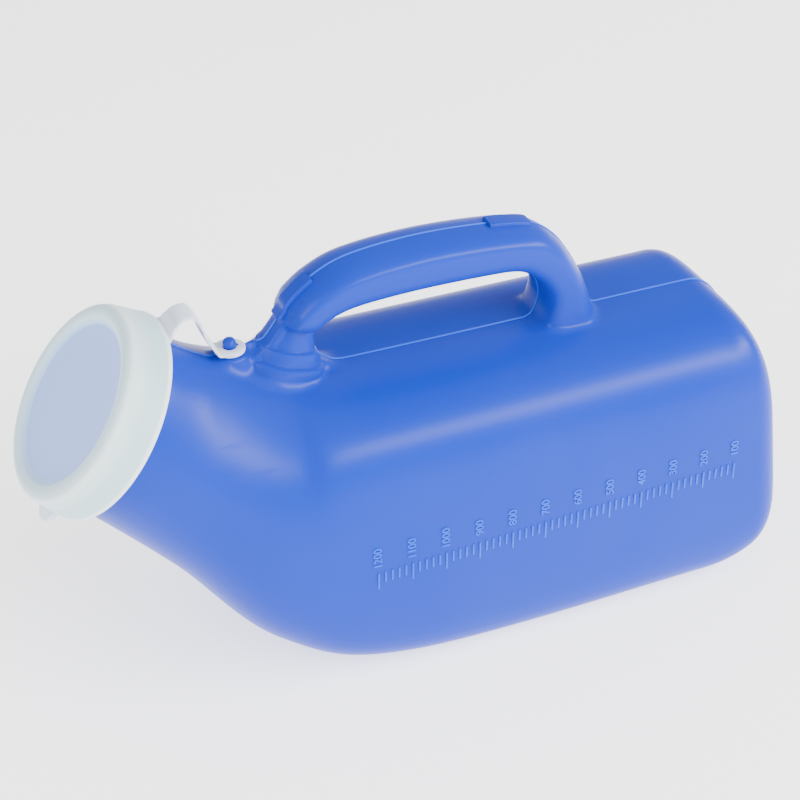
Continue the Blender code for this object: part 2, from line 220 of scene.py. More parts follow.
# Cap, as (radius, out) points along its turned profile
CAP_PROFILE = (
    (0.0, 0.0), (13.0, 0.0), (26.5, 0.0), (27.1, 0.08), (27.6, 0.4), (28.0, 0.95), (28.5, 1.45), (29.2, 1.8),
    (30.1, 2.0), (31.1, 2.0), (32.1, 1.72), (32.9, 1.2), (33.55, 0.5), (34.0, -0.4),
    (34.3, -1.5), (34.55, -3.0), (35.1, -7.0), (35.6, -10.9), (35.85, -11.3), (36.0, -11.8),
    (36.0, -12.7), (35.8, -13.1), (35.4, -13.2), (35.0, -13.1), (34.75, -12.7),
    (34.45, -12.1), (34.4, -11.6), (34.6, -11.0), (34.5, -9.0), (34.15, -4.6), (33.9, -3.0),
    (33.4, -2.1), (32.6, -1.7), (31.0, -1.6), (28.9, -1.6), (28.4, -1.75), (28.15, -2.2),
    (28.0, -3.4), (27.7, -3.95), (27.2, -4.2), (26.8, -4.1), (26.5, -3.7), (26.4, -2.4),
    (26.1, -1.8), (25.4, -1.6), (0.0, -1.6),
)
# Painted light on the milky plastic, as (radius, out, colour) spots: painted shade and tint where the dark
# mouth and the blue neck lie behind it, and painted highlights on the ring round the panel, the rim's crest
# and the back lip
PANEL_SHADE = (0.36, 0.52, 1.0)
PANEL_SHADE_R = 24.0  # one even shade within this radius
CAP_SHADE_AND_HIGHLIGHT_SPOTS = (
    (PANEL_SHADE_R, 0.0, PANEL_SHADE),
    (26.3, 0.0, PANEL_SHADE),
    (27.4, 0.3, (0.50, 0.72, 0.98)),
    (28.6, 1.6, (0.62, 0.82, 0.96)),
    (30.6, 2.0, (0.58, 0.74, 0.84)),
    (32.6, 1.5, (0.60, 0.76, 0.82)),
    (33.9, 0.0, (0.80, 0.90, 0.94)),
    (34.4, -2.2, (0.66, 0.82, 0.84)),
    (35.1, -6.5, (0.52, 0.74, 0.78)),
    (35.6, -10.6, (0.56, 0.78, 0.84)),
    (36.0, -12.2, (0.86, 0.93, 0.97)),
    (34.6, -12.6, (0.70, 0.80, 0.88)),
    (33.0, -3.0, (0.62, 0.74, 0.84)),
    (27.5, -3.0, (0.62, 0.74, 0.88)),
    (20.0, -1.6, PANEL_SHADE),
)
TAB_HALF_WIDTH = 6.0
TAB_REACH = 43.6
TAB_ARC_STEPS = 16
TAB_ROOT = ((-6.6, 37.0), (-8.2, 34.9), (8.2, 34.9), (6.6, 37.0))
TAB_OUT = (-12.9, -14.9)

# Volume marks: a number every hundred millilitres, a tick every twenty
FIRST_MARK_X = -26.1
HUNDRED_STEP = 12.46
HUNDREDS = 12
TICKS_PER_HUNDRED = 5
TICK_TOP_Z = 46.4  # at the first mark
NUMBER_Z = 52.6
MARKS_RISE = 0.05  # the row climbs by this share towards the base end
LONG_TICK = 6.6
SHORT_TICK = 4.2
TICK_WIDTH = 0.6
MARK_ROOT = 0.4  # depth that the marks go into the wall
FIGURE_WEIGHT = 0.012  # figures are thickened by this share of their size

# Plastic: scale of the mould's grain and its depth in metres, and roughness from scuffs
BOTTLE_GRAIN = (1500.0, 0.00012)
RIDGE_GRAIN = (1500.0, 0.00006)
CAP_GRAIN = (2200.0, 0.00006)
BOTTLE_SCUFF = 0.14
CAP_SCUFF = 0.12

# Stage, in metres and degrees
STAGE_MIDDLE = (0.0, 0.0, 0.07)
FLOOR_HALF = 3.0
KEY_PLACE = (0.85, -0.85, 0.92)
KEY_SIZE = (1.9, 0.26)
FILL_PLACE = (-0.95, -0.25, 0.75)
FILL_SIZE = (0.6, 0.6)
ROOM_COLOUR = (0.97, 0.98, 1.0, 1.0)
CAMERA_PLACE = (-0.2114, -0.50892, 0.4618)
CAMERA_TILT = 55.291
CAMERA_TURN = -22.704
CAMERA_LENS = 86.406


# ---- shape helpers

def mouth_point(out, radial, across=0.0):
    """A point given in the mouth's frame."""
    return MOUTH + OUT * out + RADIAL * radial + ACROSS * across


def signed_power(value, power):
    return math.copysign(abs(value) ** power, value)


def section_point(station, grow, angle):
    """A point at an angle on a section that passes through a top and a bottom point."""
    top_x, top_z, low_x, low_z, half_width, split, power_above, power_below, lean, flat = station
    high = Vector((top_x, 0.0, top_z))
    low = Vector((low_x, 0.0, low_z))
    across = (high - low).normalized()
    height = (high - low).length
    above = math.sin(angle) > 0.0
    power = 2.0 / (power_above if above else power_below)
    reach = height * (1.0 - split) if above else height * split / flat
    side = signed_power(math.cos(angle), power) * (half_width + grow)
    rise = signed_power(math.sin(angle), power) * (reach + grow)
    side *= 1.0 - lean * signed_power(math.sin(angle), power)
    rise = max(rise, -height * split - grow)
    return low + across * (height * split + rise) + ACROSS * side


def section(station, grow, count):
    return [section_point(station, grow, math.tau * i / count) for i in range(count)]


def oval(middle, along, across, reach, half_width, power, count, front_power=None):
    """Ring of points between a circle and a rectangle, set by its power.

    A low front power draws the end that faces back along its length to a bow.
    """
    ring = []
    for i in range(count):
        angle = math.tau * i / count
        in_front = front_power is not None and math.cos(angle) < 0.0
        share = 2.0 / (front_power if in_front else power)
        ring.append(middle + along * reach * signed_power(math.cos(angle), share)
                    + across * half_width * signed_power(math.sin(angle), share))
    return ring


def smooth_between(rows, steps):
    """Catmull-Rom curve through rows of numbers."""
    result = []
    for i in range(len(rows) - 1):
        before = rows[max(i - 1, 0)]
        after = rows[min(i + 2, len(rows) - 1)]
        for step in range(steps):
            t = step / steps
            result.append([
                0.5 * (2 * b + (c - a) * t + (2 * a - 5 * b + 4 * c - d) * t * t
                       + (3 * b - a - 3 * c + d) * t ** 3)
                for a, b, c, d in zip(before, rows[i], rows[i + 1], after)
            ])
    result.append(list(rows[-1]))
    return result


def circle_station(out, radius):
    top = mouth_point(out, radius)
    bottom = mouth_point(out, -radius)
    return (top.x, top.z, bottom.x, bottom.z, radius, 0.5, 2.0, 2.0, 0.0, 1.0)


def corner_inset(radius, depth):
    """How far a rounded corner draws in, at a depth in from the base end."""
    if depth >= radius:
        return 0.0
    return radius - math.sqrt(radius ** 2 - (radius - depth) ** 2)


def body_stations(steps, end_steps, grow):
    """Sections of the body from the neck to the base end's flat face."""
    straight = list(FRONT_STATION)
    straight[0] = straight[2] = END_X - END_R_FLOOR
    result = smooth_between((
        circle_station(NECK_START, NECK_R), circle_station(NECK_END, NECK_R),
        NECK_STATION, SHOULDER_STATION, FRONT_STATION, straight), steps)
    middle_z = ROOF_Z * SPLIT
    for step in range(1, end_steps + 1):
        turn = 0.5 * math.pi * step / end_steps
        depth = END_R_FLOOR * (1.0 - math.sin(turn))
        slope = math.tan(END_LEAN) * math.sin(turn)
        high = ROOF_Z - corner_inset(END_R_ROOF, depth)
        low = corner_inset(END_R_FLOOR, depth)
        middle_x = END_X + grow * math.sin(turn) - depth
        result.append((middle_x - slope * (high - middle_z), high,
                       middle_x + slope * (middle_z - low), low,
                       HALF_WIDTH - corner_inset(END_R_SIDE, depth), *FRONT_STATION[5:]))
    return result


def base_panel(ring):
    """Rings that step the base end's panel in, for a foot rim round it."""
    middle = sum(ring, Vector()) / len(ring)
    inwards = Vector((-math.cos(END_LEAN), 0.0, -math.sin(END_LEAN)))
    rings = []
    for share, depth in BASE_STEPS:
        shift = inwards * depth * BASE_RECESS
        rings.append([middle + (point - middle) * share + shift for point in ring])
    return rings


def grow_edges(mesh, edges):
    """Extrudes open edges, and gives the new open edges and the new points."""
    grown = bmesh.ops.extrude_edge_only(mesh, edges=edges)["geom"]
    return ([item for item in grown
             if isinstance(item, bmesh.types.BMEdge) and item.is_boundary],
            [item for item in grown if isinstance(item, bmesh.types.BMVert)])


def loft(rings):
    """Closed skin through a row of rings, in metres, grown by extruding the first ring."""
    mesh = bmesh.new()
    order = mesh.verts.layers.int.new("order")
    start = bmesh.ops.create_circle(mesh, segments=len(rings[0]), radius=MM)["verts"]
    for i, vert in enumerate(start):
        vert[order] = i
        vert.co = rings[0][i] * MM
    edges = list(mesh.edges)
    for ring in rings[1:]:
        edges, verts = grow_edges(mesh, edges)
        for vert in verts:
            vert.co = ring[vert[order]] * MM
    bmesh.ops.holes_fill(mesh, edges=mesh.edges, sides=0)
    bmesh.ops.recalc_face_normals(mesh, faces=mesh.faces)
    return mesh


def lathe(profile, steps, middle, axis, side):
    """Turns a profile of (radius, height) points round an axis through middle."""
    mesh = bmesh.new()
    points = [mesh.verts.new((radius * MM, 0.0, height * MM)) for radius, height in profile]
    edges = [mesh.edges.new(pair) for pair in zip(points, points[1:])]
    if profile[0][0] > 0.0:
        edges.append(mesh.edges.new((points[-1], points[0])))
    bmesh.ops.spin(mesh, geom=points + edges, axis=(0, 0, 1), cent=(0, 0, 0),
                   angle=math.tau, steps=steps, use_merge=True)
    bmesh.ops.remove_doubles(mesh, verts=mesh.verts, dist=0.000001)
    bmesh.ops.recalc_face_normals(mesh, faces=mesh.faces)
    turn = Matrix((side, axis.cross(side), axis)).transposed().to_4x4()
    mesh.transform(Matrix.Translation(middle * MM) @ turn)
    return mesh


def plate(outline, lift, bevel):
    """A flat outline made into a plate with softened edges, in metres."""
    mesh = bmesh.new()
    face = mesh.faces.new([mesh.verts.new(point * MM) for point in outline])
    grown = bmesh.ops.extrude_face_region(mesh, geom=[face])["geom"]
    moved = [item for item in grown if isinstance(item, bmesh.types.BMVert)]
    bmesh.ops.translate(mesh, verts=moved, vec=lift * MM)
    bmesh.ops.recalc_face_normals(mesh, faces=mesh.faces)
    bmesh.ops.bevel(mesh, geom=mesh.edges, offset=bevel * MM, offset_type="OFFSET", segments=3,
                    affect="EDGES", profile=0.5, material=-1, clamp_overlap=True)
    return mesh


def mesh_data(name, mesh):
    """A bmesh, which is used up, as mesh data."""
    data = bpy.data.meshes.new(name)
    mesh.to_mesh(data)
    mesh.free()
    return data


def join(meshes):
    """One bmesh out of several, which are used up."""
    whole = bmesh.new()
    for mesh in meshes:
        part = mesh_data("part", mesh)
        whole.from_mesh(part)
        bpy.data.meshes.remove(part)
    return whole


def make_piece(name, mesh, materials, sharp_angle=40.0):
    """Turns a bmesh in world metres into an object with smooth faces."""
    data = mesh_data(name, mesh)
    for material in materials:
        data.materials.append(material)
    data.shade_smooth()
    data.set_sharp_from_angle(angle=math.radians(sharp_angle))
    piece = bpy.data.objects.new(name, data)
    bpy.context.scene.collection.objects.link(piece)
    return piece


def final_mesh(piece):
    """The piece's mesh with its modifiers or curve settings worked out."""
    bpy.context.view_layer.update()
    graph = bpy.context.evaluated_depsgraph_get()
    return bpy.data.meshes.new_from_object(piece.evaluated_get(graph))


def curve_mesh(curve, weld):
    """A curve or text as a bmesh, welded at a distance in the curve's own units."""
    holder = bpy.data.objects.new(curve.name, curve)
    bpy.context.scene.collection.objects.link(holder)
    mesh = bmesh.new()
    mesh.from_mesh(final_mesh(holder))
    bpy.data.objects.remove(holder, do_unlink=True)
    bmesh.ops.remove_doubles(mesh, verts=mesh.verts, dist=weld)
    bmesh.ops.recalc_face_normals(mesh, faces=mesh.faces)
    return mesh


def smooth(mesh, verts, rounds):
    for _ in range(rounds):
        bmesh.ops.smooth_vert(mesh, verts=verts, factor=0.5, use_axis_x=True,
                              use_axis_y=True, use_axis_z=True)


# ---- bottle

@functools.cache
def body_tree():
    """Nearest-point tree of the body's exact outer surface."""
    mesh = body_solid(160, 14, 16)
    tree = BVHTree.FromBMesh(mesh)
    mesh.free()
    return tree


def body_solid(around, steps, end_steps):
    mouth = [section(circle_station(out, radius), 0.0, around)
             for out, radius in ((0.0, BEAD_R), (BEAD_FRONT, BEAD_R), (BEAD_BACK + 0.5, BEAD_R),
                                 (BEAD_BACK, BEAD_R - 0.25))]
    rings = [section(s, 0.0, around) for s in body_stations(steps, end_steps, 0.0)]
    for ring in rings:
        for point in ring:
            point.z = max(point.z, 0.0)
    return loft(mouth + rings + base_panel(rings[-1]))


def grip_solid():
    rings = []
    for row in smooth_between(GRIP_STATIONS, 5):
        station = (*row, GRIP_SPLIT, GRIP_POWER_OUTER, GRIP_POWER_INNER, 0.0, 1.0)
        rings.append(section(station, 0.0, 64))
    first = rings[0]
    middle = sum(first, Vector()) / len(first)
    back = (first[16] - first[48]).cross(ACROSS).normalized() * 1.2
    rings.insert(0, [middle + (point - middle) * 0.82 + back for point in first])
    return loft(rings)


def foot_solid(levels):
    along = Vector((math.cos(FOOT_SLOPE), 0.0, -math.sin(FOOT_SLOPE)))
    up = Vector((math.sin(FOOT_SLOPE), 0.0, math.cos(FOOT_SLOPE)))
    rings = []
    for height, front, rear, half_width, power in levels:
        middle = FOOT_MIDDLE + up * height + along * 0.5 * (front + rear)
        rings.append(oval(middle, along, ACROSS, 0.5 * (rear - front), half_width, power, 64,
                          min(power, FOOT_BOW)))
    return loft(rings)


def root_web():
    """The leg's fillets, down to the roof on both sides."""
    return loft([[WEB_MIDDLE + (Vector((x, 0.0, z)) - WEB_MIDDLE) * share + ACROSS * side
                  for x, z in WEB_OUTLINE] for side, share in WEB_SLICES])


def stud_solids():
    stud, boss = (
        loft([oval(Vector((STUD_X, 0.0, z)), ALONG, ACROSS, radius, radius, power, count)
              for z, radius in levels])
        for levels, power, count in ((STUD_LEVELS, 2.0, 32), (BOSS_LEVELS, 2.6, 40)))
    fin = plate([Vector((x, -0.9, z)) for x, z in FIN_OUTLINE], ACROSS * 1.8, 0.3)
    return [stud, boss, fin]


@functools.cache
def outer_skin():
    """The whole moulding as one closed skin, with its junctions rounded, as mesh data."""
    sizes = bpy.context.scene.urine_bottle
    added = join([grip_solid(), foot_solid(FOOT_LEVELS), root_web()] + stud_solids())
    added_tree = BVHTree.FromBMesh(added)
    whole = join([body_solid(96, 10, 12), added])
    block = make_piece("moulding_block", whole, [])
    remesh = block.modifiers.new("One skin", "REMESH")
    remesh.mode = "VOXEL"
    remesh.voxel_size = sizes.fineness
    mesh = bmesh.new()
    mesh.from_mesh(final_mesh(block))
    bpy.data.objects.remove(block, do_unlink=True)
    settle_on_exact(mesh, added_tree, sizes.fillet)
    return mesh_data("moulding_skin", mesh)


def settle_on_exact(mesh, added_tree, fillet):
    """Moves points on to the exact surfaces, and rounds the places where those meet."""
    closeness = {}
    for vert in mesh.verts:
        body_spot, _, _, body_gap = body_tree().find_nearest(vert.co)
        added_spot, _, _, added_gap = added_tree.find_nearest(vert.co)
        closeness[vert] = max(body_gap, added_gap)
        vert.co = body_spot if body_gap < added_gap else added_spot
    on_handle = [vert for vert in mesh.verts
                 if body_tree().find_nearest(vert.co)[3] > CLEAR_OF_BODY * MM]
    smooth(mesh, on_handle, HANDLE_ROUNDS)
    for share, rounds in FILLET_ROUNDS:
        smooth(mesh, [vert for vert, gap in closeness.items() if gap < fillet * share], rounds)


def open_mouth(mesh, wall):
    """Cuts the skin at the mouth and lines it with the wall's inner side."""
    plane = mouth_point(MOUTH_CUT, 0.0) * MM
    bmesh.ops.bisect_plane(mesh, geom=mesh.verts[:] + mesh.edges[:] + mesh.faces[:],
                           plane_co=plane, plane_no=OUT, clear_outer=True)
    edges = [edge for edge in mesh.edges if edge.is_boundary]
    turn = mesh.verts.layers.float.new("turn")
    for vert in {vert for edge in edges for vert in edge.verts}:
        arm = vert.co / MM - MOUTH
        vert[turn] = math.atan2(arm.dot(RADIAL), arm.y)
        vert.co = section_point(circle_station(MOUTH_CUT, BEAD_R), 0.0, vert[turn]) * MM
    bore = NECK_R - wall
    rows = [(circle_station(out, radius), 0.0) for out, radius in (
        (BEAD_FRONT - 0.1, BEAD_R - 0.2), (BEAD_FRONT, BEAD_R - 0.6), (BEAD_FRONT, bore + 0.6),
        (BEAD_FRONT - 0.1, bore + 0.2), (MOUTH_CUT, bore))]
    rows += [(row, -wall) for row in body_stations(4, 6, -wall)]
    for station, grow in rows:
        edges, verts = grow_edges(mesh, edges)
        for vert in verts:
            place = section_point(station, grow, vert[turn])
            place.z = max(place.z, -grow)
            vert.co = place * MM
    bmesh.ops.holes_fill(mesh, edges=edges, sides=0)
    bmesh.ops.recalc_face_normals(mesh, faces=mesh.faces)


def middle_loops(data):
    """The closed lines in which the middle plane cuts a mesh, as lists of points."""
    mesh = bmesh.new()
    mesh.from_mesh(data)
    cut = bmesh.ops.bisect_plane(mesh, geom=mesh.verts[:] + mesh.edges[:] + mesh.faces[:],
                                 plane_co=(0, 0, 0), plane_no=ACROSS)["geom_cut"]
    edges = {item for item in cut if isinstance(item, bmesh.types.BMEdge)}
    loops = []
    while edges:
        edge = edges.pop()
        first, vert = edge.verts
        loop = [first.co.copy(), vert.co.copy()]
        while True:
            onward = [link for link in vert.link_edges if link in edges]
            if not onward:
                break
            edges.remove(onward[0])
            vert = onward[0].other_vert(vert)
            loop.append(vert.co.copy())
        loops.append(loop)
    mesh.free()
    return [from_corner(loop) for loop in loops if len(loop) > FEWEST_POINTS]


def from_corner(loop):
    """The same closed loop, upwards from its corner that is lowest towards the mouth."""
    ring = loop[:-1]
    heights = [point.x + 0.5 * point.z for point in ring]
    start = heights.index(min(heights))
    ring = ring[start:] + ring[:start]
    if ring[1].z < ring[-1].z:
        ring[1:] = ring[:0:-1]
    return ring + ring[:1]


def evenly(loop, step):
    """Points at even steps along a closed line."""
    points = [loop[0]]
    left = step
    for before, after in zip(loop, loop[1:]):
        length = (after - before).length
        while length > left:
            before = before + (after - before) * (left / length)
            length -= left
            points.append(before)
            left = step
        left -= length
    return points


def longest_run(points):
    """Points of a loop in a row that starts after its widest gap, and that gap."""
    gaps = [(point - points[i - 1]).length for i, point in enumerate(points)]
    start = gaps.index(max(gaps))
    return points[start:] + points[:start], gaps[start]


def keeps_seam(point):
    """Whether the parting line shows at a point, which it doesn't on the bead or the stud."""
    at_stud = STUD_GAP_X[0] < point.x < STUD_GAP_X[1] and point.z > STUD_GAP_Z
    return (point - MOUTH).dot(OUT) < BEAD_BACK - 0.4 and not at_stud


def tube_along(loop, radius, closed):
    """A round line along points, as a bmesh."""
    curve = bpy.data.curves.new("line", "CURVE")
    curve.dimensions = "3D"
    curve.bevel_depth = radius
    curve.bevel_resolution = 1
    curve.use_fill_caps = not closed
    spline = curve.splines.new("POLY")
    spline.points.add(len(loop) - 1)
    for point, place in zip(spline.points, loop):
        point.co = (*place, 1.0)
    spline.use_cyclic_u = closed
    return curve_mesh(curve, 0.001 * MM)


def grip_line():
    """The grip's outer line: points, and the direction away from the grip at each."""
    line = []
    for outer_x, outer_z, inner_x, inner_z, _ in smooth_between(GRIP_STATIONS[:-4], 12):
        outer = Vector((outer_x, 0.0, outer_z))
        inner = Vector((inner_x, 0.0, inner_z))
        line.append((outer, (outer - inner).normalized()))
    return line


def rib_bar(line, share_from, share_to, half_width, height):
    """A bar with blunt ends on the grip's outer line."""
    lengths = [0.0]
    for (before, _), (after, _) in zip(line, line[1:]):
        lengths.append(lengths[-1] + (after - before).length)
    whole = lengths[-1]
    picked = [spot for spot, length in zip(line, lengths)
              if share_from <= length / whole <= share_to]
    rings = []
    last = len(picked) - 1
    for i, (place, rise) in enumerate(picked):
        middle = place + rise * (0.5 * (height - RIB_ROOT))
        shrink = 0.93 if i in (0, last) else 1.0
        rings.append(oval(middle, rise, ACROSS, 0.5 * (height + RIB_ROOT) * shrink,
                          half_width * shrink, 6.0, 32))
    return loft(rings)


# ---- volume marks

def wall_y(x, z):
    """Where the near wall is, at a place along the body and a height."""
    hit = body_tree().ray_cast(Vector((x * MM, -0.1, z * MM)), ACROSS)[0]
    return hit.y / MM


def tick(x, top, length, proud):
    mesh = bmesh.new()
    bmesh.ops.create_cube(mesh, size=MM)
    bmesh.ops.scale(mesh, vec=(TICK_WIDTH, proud + MARK_ROOT, length), verts=mesh.verts)
    upper = [edge for edge in mesh.edges if all(vert.co.y < 0.0 for vert in edge.verts)]
    bmesh.ops.bevel(mesh, geom=upper, offset=0.1 * MM, offset_type="OFFSET", segments=2,
                    affect="EDGES", profile=0.5, material=-1)
    middle_z = top - 0.5 * length
    middle = Vector((x, wall_y(x, middle_z) + 0.5 * (MARK_ROOT - proud), middle_z))
    bmesh.ops.translate(mesh, verts=mesh.verts, vec=middle * MM)
    return mesh


def number(text, x, z, size, proud):
    """Raised figures that read when the bottle stands on its base end."""
    curve = bpy.data.curves.new("figures", "FONT")
    curve.body = text
    curve.align_x = "CENTER"
    curve.align_y = "CENTER"
    curve.size = size
    curve.extrude = 0.5 * (proud + MARK_ROOT)
    curve.offset = FIGURE_WEIGHT * size
    curve.resolution_u = 4
    mesh = curve_mesh(curve, 0.0001)
    for vert in mesh.verts:
        read, up, lift = vert.co
        spot_x, spot_z = x - up, z + read
        spot_y = wall_y(spot_x, spot_z) + 0.5 * (MARK_ROOT - proud) - lift
        vert.co = Vector((spot_x, spot_y, spot_z)) * MM
    return mesh


# ---- strap and cap

def strap_rings(thick):
    """Sections of the strap, from the pad to inside the skirt."""
    stops = list(STRAP_STOPS)
    for out, radial, half_width, bend in STRAP_ROOT:
        place = mouth_point(out, radial)
        stops.append((place.x, place.z, half_width, bend))
    rows = smooth_between(stops, 6)
    rings = []
    for i, (x, z, half_width, bend) in enumerate(rows):
        after = rows[min(i + 1, len(rows) - 1)]
        before = rows[max(i - 1, 0)]
        along = Vector((after[0] - before[0], 0.0, after[1] - before[1])).normalized()
        normal = along.cross(ACROSS)
        ring = oval(Vector((x, 0.0, z)), ACROSS, normal, half_width, 0.5 * thick, 4.0, 32)
        for point in ring:
            point -= RADIAL * bend * point.y ** 2 / SKIRT_CURVE
        rings.append(ring)
    return rings


def ring_near(rings, place):
    """Index of the ring whose middle is nearest a place."""
    gaps = [(sum(ring, Vector()) / len(ring) - place).length for ring in rings]
    return gaps.index(min(gaps))


def cap_shade_and_highlight(radius, out):
    """Colour of the cap's plastic at a place on its turned profile, with its painted shade and highlights.
    """
    if radius < PANEL_SHADE_R:
        return PANEL_SHADE
    total = 0.0
    mixed = Vector((0.0, 0.0, 0.0))
    for spot_radius, spot_out, colour in CAP_SHADE_AND_HIGHLIGHT_SPOTS:
        gap = (radius - spot_radius) ** 2 + (out - spot_out) ** 2
        weight = 1.0 / (gap + 0.05) ** 2
        mixed += Vector(colour) * weight
        total += weight
    return mixed / total


def shade_cap(mesh):
    """Stores the plastic's painted shade and highlights on the cap's points, before it becomes an object."""
    shade = mesh.verts.layers.float_color.new("shade")
    for vert in mesh.verts:
        arm = vert.co / MM - MOUTH
        out = arm.dot(OUT)
        vert[shade] = (*cap_shade_and_highlight((arm - OUT * out).length, out), 1.0)


def tab_outline():
    outline = []
    for i in range(TAB_ARC_STEPS + 1):
        angle = math.pi * i / TAB_ARC_STEPS
        outline.append((TAB_HALF_WIDTH * math.cos(angle),
                        TAB_REACH - TAB_HALF_WIDTH * (1.0 - 0.92 * math.sin(angle))))
    return [mouth_point(TAB_OUT[0], -radial, across)
            for across, radial in outline + list(TAB_ROOT)]


# ---- materials

def set_inputs(node, values):
    """Sets inputs of a node by their labels, and gives the node back."""
    for label, value in values.items():
        node.inputs[label].default_value = value
    return node


def link_all(tree, *pairs):
    for source, target in pairs:
        tree.links.new(source, target)


def new_group(name, inputs, kind, output):
    """A node group: itself, its inputs, its one output, and places on the object."""
    group = bpy.data.node_groups.new(name, "ShaderNodeTree")
    for label, value in inputs.items():
        colour = isinstance(value, tuple)
        socket = group.interface.new_socket(
            name=label, in_out="INPUT",
            socket_type="NodeSocketColor" if colour else "NodeSocketFloat")
        socket.default_value = value
    group.interface.new_socket(name=output, in_out="OUTPUT", socket_type=kind)
    given = group.nodes.new("NodeGroupInput")
    result = group.nodes.new("NodeGroupOutput")
    place = group.nodes.new("ShaderNodeTexCoord")
    return group, given.outputs, result.inputs[output], place.outputs["Object"]


def noise(group, place, scale, detail):
    """Noise at a place, with its scale linked."""
    node = set_inputs(group.nodes.new("ShaderNodeTexNoise"), {"Detail": detail})
    link_all(group, (place, node.inputs["Vector"]), (scale, node.inputs["Scale"]))
    return node.outputs["Fac"]


def map_range(tree, source, values):
    """A source, stretched between new limits."""
    node = set_inputs(tree.nodes.new("ShaderNodeMapRange"), values)
    tree.links.new(source, node.inputs["Value"])
    return node.outputs["Result"]


@functools.cache
def grain_group():
    """Fine matt grain of a blasted mould, with a slower waviness under it."""
    group, given, height, place = new_group(
        "Mould grain", {"Grain Scale": 1500.0, "Wave Scale": 60.0, "Wave Share": 0.5},
        "NodeSocketFloat", "Height")
    fine = noise(group, place, given["Grain Scale"], 3.0)
    slow = noise(group, place, given["Wave Scale"], 2.0)
    blend = group.nodes.new("ShaderNodeMix")
    link_all(group, (given["Wave Share"], blend.inputs[0]), (fine, blend.inputs[2]),
             (slow, blend.inputs[3]), (blend.outputs[0], height))
    return group


@functools.cache
def scuff_group():
    """Short fine rubbed lines, gathered in patches."""
    group, given, mask, place = new_group(
        "Light scuffs", {"Patch Scale": 28.0, "Line Scale": 420.0}, "NodeSocketFloat", "Mask")
    stretch = set_inputs(group.nodes.new("ShaderNodeMapping"),
                         {"Rotation": (0.3, 0.5, 0.2), "Scale": (0.12, 1.0, 1.0)})
    lines = noise(group, stretch.outputs["Vector"], given["Line Scale"], 4.0)
    patches = noise(group, place, given["Patch Scale"], 3.0)
    both = group.nodes.new("ShaderNodeMath")
    both.operation = "MULTIPLY"
    link_all(group, (place, stretch.inputs["Vector"]),
             (map_range(group, lines, {"From Min": 0.56, "From Max": 0.72}), both.inputs[0]),
             (map_range(group, patches, {"From Min": 0.45, "From Max": 0.75}), both.inputs[1]),
             (both.outputs["Value"], mask))
    return group


@functools.cache
def cloud_group():
    """Slow changes of shade, as where the wall is thicker or thinner."""
    white = (1.0, 1.0, 1.0, 1.0)
    group, given, colour, place = new_group(
        "Wall clouding", {"Scale": 14.0, "Thick Colour": white, "Thin Colour": white},
        "NodeSocketColor", "Colour")
    cloud = noise(group, place, given["Scale"], 3.0)
    spread = map_range(group, cloud, {"From Min": 0.35, "From Max": 0.65})
    blend = group.nodes.new("ShaderNodeMix")
    blend.data_type = "RGBA"
    link_all(group, (spread, blend.inputs[0]), (given["Thick Colour"], blend.inputs[6]),
             (given["Thin Colour"], blend.inputs[7]), (blend.outputs[2], colour))
    return group


def use_group(tree, group, values):
    node = tree.nodes.new("ShaderNodeGroup")
    node.node_tree = group
    return set_inputs(node, values)


def plastic(name, colour, thin_share, roughness, scuff_gain, grain):
    """Moulded polyethylene: clouded colour, fine grain, and roughness that scuffs raise."""
    material = bpy.data.materials.new(name)
    material.use_nodes = True
    tree = material.node_tree
    shader = set_inputs(tree.nodes["Principled BSDF"],
                        {"IOR": 1.34, "Specular IOR Level": 0.3})
    thin = [value + (1.0 - value) * thin_share for value in colour]
    cloud = use_group(tree, cloud_group(),
                      {"Thick Colour": (*colour, 1.0), "Thin Colour": (*thin, 1.0)})
    scuffs = use_group(tree, scuff_group(), {})
    rough = map_range(tree, scuffs.outputs["Mask"],
                      {"To Min": roughness, "To Max": roughness + scuff_gain})
    grain_scale, grain_depth = grain
    relief = use_group(tree, grain_group(), {"Grain Scale": grain_scale})
    bump = set_inputs(tree.nodes.new("ShaderNodeBump"),
                      {"Strength": 0.35, "Distance": grain_depth})
    link_all(tree, (cloud.outputs["Colour"], shader.inputs["Base Color"]),
             (rough, shader.inputs["Roughness"]),
             (relief.outputs["Height"], bump.inputs["Height"]),
             (bump.outputs["Normal"], shader.inputs["Normal"]))
    return material


@functools.cache
def blue_polyethylene():
    colours = bpy.context.scene.urine_bottle
    return plastic("blue_polyethylene", tuple(colours.bottle_colour), 0.006,
                   colours.bottle_roughness, BOTTLE_SCUFF, BOTTLE_GRAIN)


@functools.cache
def ridge_highlight_polyethylene():
    """The same blue, paler, as a painted highlight on thin ridges and raised figures."""
    colours = bpy.context.scene.urine_bottle
    return plastic("highlight_blue_polyethylene", tuple(colours.ridge_highlight_colour), 0.02,
                   colours.bottle_roughness, BOTTLE_SCUFF, RIDGE_GRAIN)


@functools.cache
def milky_polyethylene():
    colours = bpy.context.scene.urine_bottle
    material = plastic("milky_polyethylene", tuple(colours.cap_colour), 0.08,
                       colours.cap_roughness, CAP_SCUFF, CAP_GRAIN)
    set_inputs(material.node_tree.nodes["Principled BSDF"],
               {"Subsurface Weight": 0.25, "Subsurface Radius": (0.8, 1.0, 1.0),
                "Subsurface Scale": 0.002})
    return material


